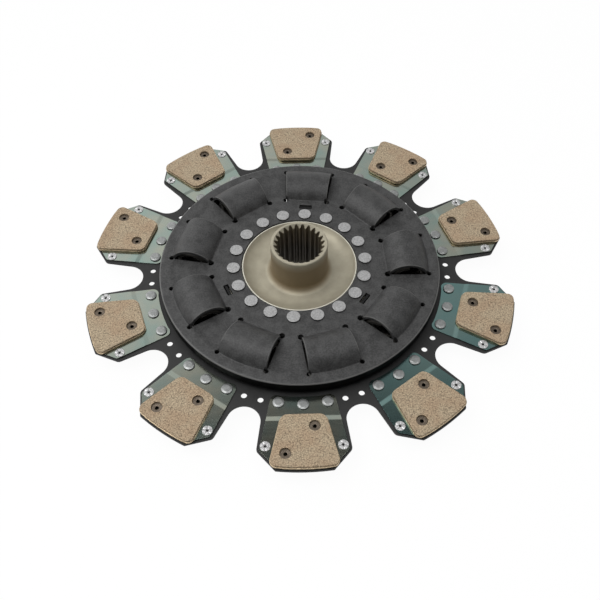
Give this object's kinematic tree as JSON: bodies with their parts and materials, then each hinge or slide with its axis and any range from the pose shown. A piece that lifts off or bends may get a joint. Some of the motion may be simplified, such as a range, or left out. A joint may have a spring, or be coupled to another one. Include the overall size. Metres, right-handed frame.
{
  "type": "clutch disc",
  "caption": "Sprung clutch disc: splined hub between two pressed covers with coil springs, and a carrier disc whose arms hold sintered friction pads on cushion plates.",
  "frame": {"origin": "on the hub axis, at the height of the lowest point of the rear cover's pockets", "axes": "+Z along the hub axis towards the long collar, +Y along the first arm"},
  "size_m": [0.4236, 0.4318, 0.0669],
  "materials": {
    "hub_steel": "satin",
    "cover_steel": "satin",
    "arm_steel": "matte",
    "plain_steel": "satin",
    "plate_green": "satin",
    "pad_sinter": "rough",
    "rivet_steel": "satin",
    "spring_steel": "satin",
    "ring_lining": "matte"
  },
  "bodies": {
    "hub_side": {"hub": "hub_steel", "front_cover": "cover_steel", "rear_cover": "cover_steel", "hub_rivets": "rivet_steel", "front_friction_ring": "ring_lining", "pressure_ring": "plain_steel", "disc_spring": "spring_steel", "rear_friction_ring": "ring_lining"},
    "arm_side": {"drive_plate": "plain_steel", "paddle_disc": "arm_steel", "drive_rivets": "rivet_steel", "front_plate_01": "plate_green", "front_plate_02": "plate_green", "front_plate_03": "plate_green", "front_plate_04": "plate_green", "front_plate_05": "plate_green", "front_plate_06": "plate_green", "front_plate_07": "plate_green", "front_plate_08": "plate_green", "front_plate_09": "plate_green", "front_plate_10": "plate_green", "front_pad_01": "pad_sinter", "front_pad_02": "pad_sinter", "front_pad_03": "pad_sinter", "front_pad_04": "pad_sinter", "front_pad_05": "pad_sinter", "front_pad_06": "pad_sinter", "front_pad_07": "pad_sinter", "front_pad_08": "pad_sinter", "front_pad_09": "pad_sinter", "front_pad_10": "pad_sinter", "rear_plate_01": "plate_green", "rear_plate_02": "plate_green", "rear_plate_03": "plate_green", "rear_plate_04": "plate_green", "rear_plate_05": "plate_green", "rear_plate_06": "plate_green", "rear_plate_07": "plate_green", "rear_plate_08": "plate_green", "rear_plate_09": "plate_green", "rear_plate_10": "plate_green", "rear_pad_01": "pad_sinter", "rear_pad_02": "pad_sinter", "rear_pad_03": "pad_sinter", "rear_pad_04": "pad_sinter", "rear_pad_05": "pad_sinter", "rear_pad_06": "pad_sinter", "rear_pad_07": "pad_sinter", "rear_pad_08": "pad_sinter", "rear_pad_09": "pad_sinter", "rear_pad_10": "pad_sinter"},
    "spring_set": {"springs": "spring_steel"}
  },
  "joints": [
    {"name": "damper_turn", "type": "hinge", "parent": "hub_side", "child": "arm_side", "pos_m": [0, 0, 0.0241], "axis": [0, 0, 1], "range_deg": [-5, 5], "stiffness_Nm_per_rad": 10600, "deforming": ["springs"]},
    {"name": "spring_shift", "type": "hinge", "parent": "hub_side", "child": "spring_set", "pos_m": [0, 0, 0.0241], "axis": [0, 0, 1], "range_deg": [-2.6, 2.6]}
  ],
  "couplings": [
    {"joint": "spring_shift", "follows": "damper_turn", "ratio": 0.5}
  ]
}
